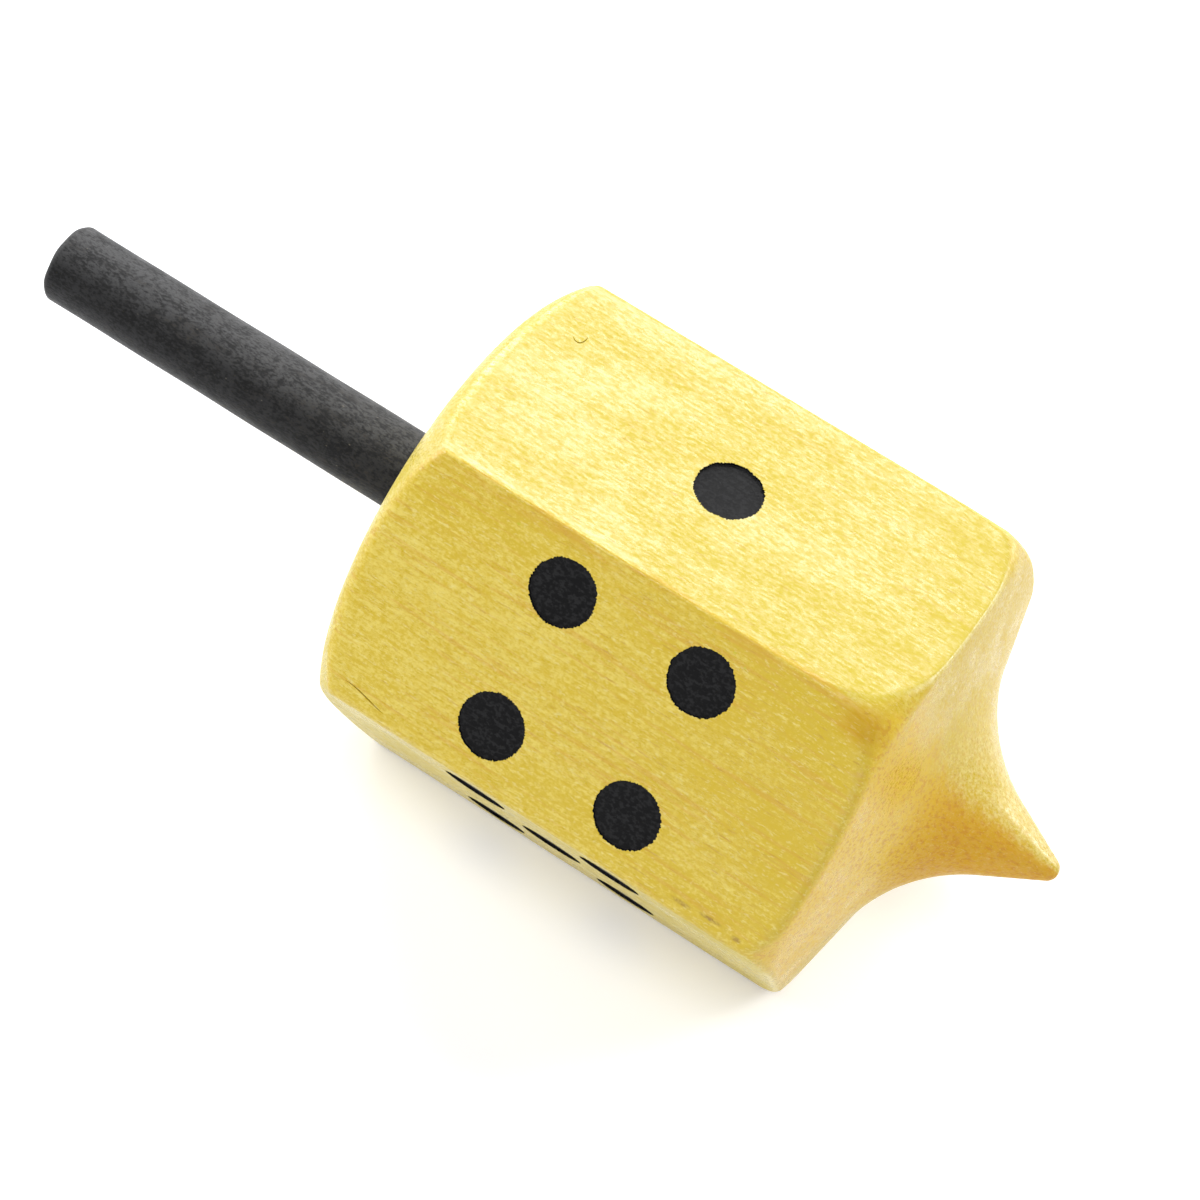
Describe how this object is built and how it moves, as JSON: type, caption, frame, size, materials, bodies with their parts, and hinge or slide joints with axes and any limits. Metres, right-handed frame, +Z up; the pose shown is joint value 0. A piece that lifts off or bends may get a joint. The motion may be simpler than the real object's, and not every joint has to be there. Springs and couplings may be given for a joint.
{
  "type": "dice spinning top",
  "caption": "Six-sided wooden spinning top with die pips stamped on its sides, a black dowel stem to twirl it by and a turned point to spin on; it comes to rest on one side.",
  "frame": {"origin": "on the surface that the top lies on, under the middle of its length on the spin axis", "axes": "+X along the spin axis towards the point, +Z up out of the side with one pip, so the side with six pips is underneath and the side with four faces -Y"},
  "size_m": [0.07, 0.0322, 0.028],
  "materials": {
    "dyed_wood": "yellow-dyed close-grained wood, sanded, matt",
    "black_stem": "black-stained dowel, matt",
    "pip_black": "matt black pigment, stamped into the wood"
  },
  "bodies": {
    "root": {"body": "dyed_wood", "stem": "black_stem", "pip_one": "pip_black", "pips_two": "pip_black", "pips_three": "pip_black", "pips_four": "pip_black", "pips_five": "pip_black", "pips_six": "pip_black"}
  },
  "joints": []
}
